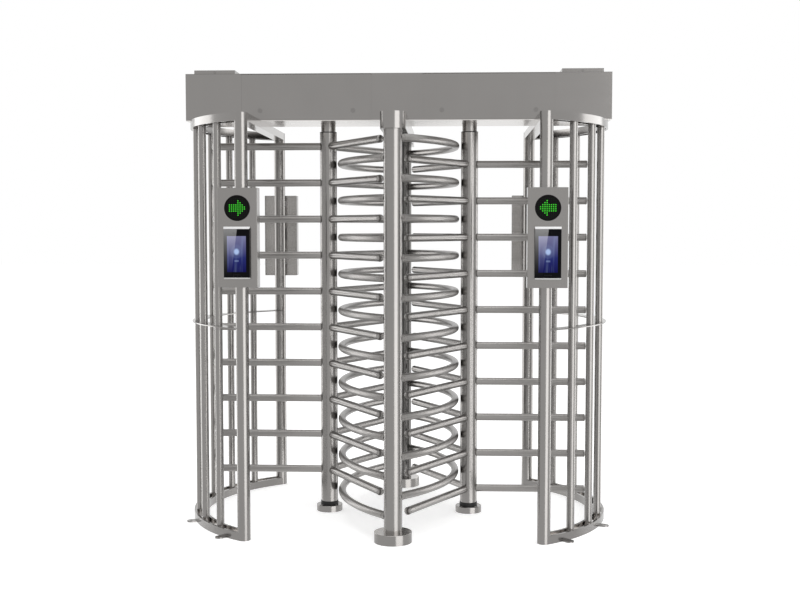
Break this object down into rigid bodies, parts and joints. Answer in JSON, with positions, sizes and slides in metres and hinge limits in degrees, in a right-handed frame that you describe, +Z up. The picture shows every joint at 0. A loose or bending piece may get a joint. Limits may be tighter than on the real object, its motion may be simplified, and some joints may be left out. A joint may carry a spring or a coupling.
{
  "type": "full height turnstile",
  "caption": "Double-lane full height turnstile: caged lanes, winged rotors of round arms, bent comb bars between the lanes, a lock canopy on top and reader boxes on the posts.",
  "frame": {"origin": "on the floor, midway between the two rotors and between front and rear", "axes": "+X to the right lane seen from the front, +Y from front to rear, +Z up"},
  "size_m": [2.176, 1.5206, 2.322],
  "materials": {
    "satin_steel": "satin stainless steel",
    "plate_steel": "rolled plate, zinc plated",
    "machined_steel": "machined and oiled",
    "plated_steel": "bright plated",
    "cast_housing": "painted casting",
    "cast_aluminium": "cast",
    "bronze": "machined",
    "black_rubber": "matt",
    "black_coil_case": "matt",
    "grey_plastic": "matt",
    "black_display": "gloss",
    "terminal_glass": "gloss glass front in a light frame"
  },
  "bodies": {
    "frame": {"canopy_bolts": "plated_steel", "canopy_end_panels": "satin_steel", "canopy_floor_plate": "satin_steel", "canopy_front_panels": "satin_steel", "canopy_rear_panel": "satin_steel", "canopy_roof_sheet": "satin_steel", "centre_posts": "satin_steel", "centre_top_beam": "satin_steel", "controller_box": "grey_plastic", "damper_units": "cast_aluminium", "direction_displays": "black_display", "door_hinge_pins": "machined_steel", "face_terminals": "terminal_glass", "floor_pivots": "satin_steel", "floor_tabs": "satin_steel", "hatch_screws": "plated_steel", "head_plates": "plate_steel", "left_cage_bands": "satin_steel", "left_cage_bars": "satin_steel", "left_comb_bars": "satin_steel", "lock_solenoids": "black_coil_case", "middle_rings": "satin_steel", "outer_posts": "satin_steel", "outer_top_beams": "satin_steel", "post_base_covers": "satin_steel", "post_flanges": "plate_steel", "power_supply": "cast_aluminium", "reader_back_plates": "satin_steel", "reader_boxes": "satin_steel", "reader_saddles": "satin_steel", "right_cage_bands": "satin_steel", "right_cage_bars": "satin_steel", "right_comb_bars": "satin_steel", "roof_hatches": "satin_steel", "seal_rings": "black_rubber", "top_bearings": "cast_housing"},
    "left_rotor": {"left_rotor_column": "satin_steel", "left_rotor_arms": "satin_steel", "left_arm_plugs": "satin_steel", "left_rotor_shaft": "machined_steel", "left_rotor_bush": "bronze", "left_index_wheel": "machined_steel"},
    "left_pinion": {"left_damper_pinion": "machined_steel"},
    "left_entry_bolt": {"left_entry_lock_bolt": "machined_steel"},
    "left_exit_bolt": {"left_exit_lock_bolt": "machined_steel"},
    "left_door": {"left_service_door": "satin_steel"},
    "left_inner_lock": {"left_door_inner_lock": "plated_steel"},
    "left_outer_lock": {"left_door_outer_lock": "plated_steel"},
    "right_rotor": {"right_rotor_column": "satin_steel", "right_rotor_arms": "satin_steel", "right_arm_plugs": "satin_steel", "right_rotor_shaft": "machined_steel", "right_rotor_bush": "bronze", "right_index_wheel": "machined_steel"},
    "right_pinion": {"right_damper_pinion": "machined_steel"},
    "right_entry_bolt": {"right_entry_lock_bolt": "machined_steel"},
    "right_exit_bolt": {"right_exit_lock_bolt": "machined_steel"},
    "right_door": {"right_service_door": "satin_steel"},
    "right_inner_lock": {"right_door_inner_lock": "plated_steel"},
    "right_outer_lock": {"right_door_outer_lock": "plated_steel"}
  },
  "joints": [
    {"name": "left_rotor_turn", "type": "hinge", "parent": "frame", "child": "left_rotor", "pos_m": [-0.372, 0, 0], "axis": [0, 0, 1], "continuous": true},
    {"name": "left_pinion_turn", "type": "hinge", "parent": "frame", "child": "left_pinion", "pos_m": [-0.492, 0, 2.1], "axis": [0, 0, 1], "continuous": true},
    {"name": "left_entry_bolt_slide", "type": "slide", "parent": "frame", "child": "left_entry_bolt", "axis": [0, 1, 0], "range_m": [0, 0.012], "stiffness_N_per_m": 200, "springref_m": -0.01},
    {"name": "left_exit_bolt_slide", "type": "slide", "parent": "frame", "child": "left_exit_bolt", "axis": [0, -1, 0], "range_m": [0, 0.012], "stiffness_N_per_m": 200, "springref_m": -0.01},
    {"name": "left_door_hinge", "type": "hinge", "parent": "frame", "child": "left_door", "pos_m": [-0.466, -0.172, 2.286], "axis": [-1, 0, 0], "range_deg": [0, 90]},
    {"name": "left_inner_lock_turn", "type": "hinge", "parent": "left_door", "child": "left_inner_lock", "pos_m": [-0.227, -0.18, 2.112], "axis": [0, -1, 0], "range_deg": [0, 90]},
    {"name": "left_outer_lock_turn", "type": "hinge", "parent": "left_door", "child": "left_outer_lock", "pos_m": [-0.705, -0.18, 2.112], "axis": [0, 1, 0], "range_deg": [0, 90]},
    {"name": "right_rotor_turn", "type": "hinge", "parent": "frame", "child": "right_rotor", "pos_m": [0.372, 0, 0], "axis": [0, 0, 1], "continuous": true},
    {"name": "right_pinion_turn", "type": "hinge", "parent": "frame", "child": "right_pinion", "pos_m": [0.492, 0, 2.1], "axis": [0, 0, 1], "continuous": true},
    {"name": "right_entry_bolt_slide", "type": "slide", "parent": "frame", "child": "right_entry_bolt", "axis": [0, 1, 0], "range_m": [0, 0.012], "stiffness_N_per_m": 200, "springref_m": -0.01},
    {"name": "right_exit_bolt_slide", "type": "slide", "parent": "frame", "child": "right_exit_bolt", "axis": [0, -1, 0], "range_m": [0, 0.012], "stiffness_N_per_m": 200, "springref_m": -0.01},
    {"name": "right_door_hinge", "type": "hinge", "parent": "frame", "child": "right_door", "pos_m": [0.466, -0.172, 2.286], "axis": [-1, 0, 0], "range_deg": [0, 90]},
    {"name": "right_inner_lock_turn", "type": "hinge", "parent": "right_door", "child": "right_inner_lock", "pos_m": [0.227, -0.18, 2.112], "axis": [0, 1, 0], "range_deg": [0, 90]},
    {"name": "right_outer_lock_turn", "type": "hinge", "parent": "right_door", "child": "right_outer_lock", "pos_m": [0.705, -0.18, 2.112], "axis": [0, -1, 0], "range_deg": [0, 90]}
  ],
  "couplings": [
    {"joint": "left_pinion_turn", "follows": "left_rotor_turn", "ratio": -3},
    {"joint": "right_pinion_turn", "follows": "right_rotor_turn", "ratio": -3}
  ]
}
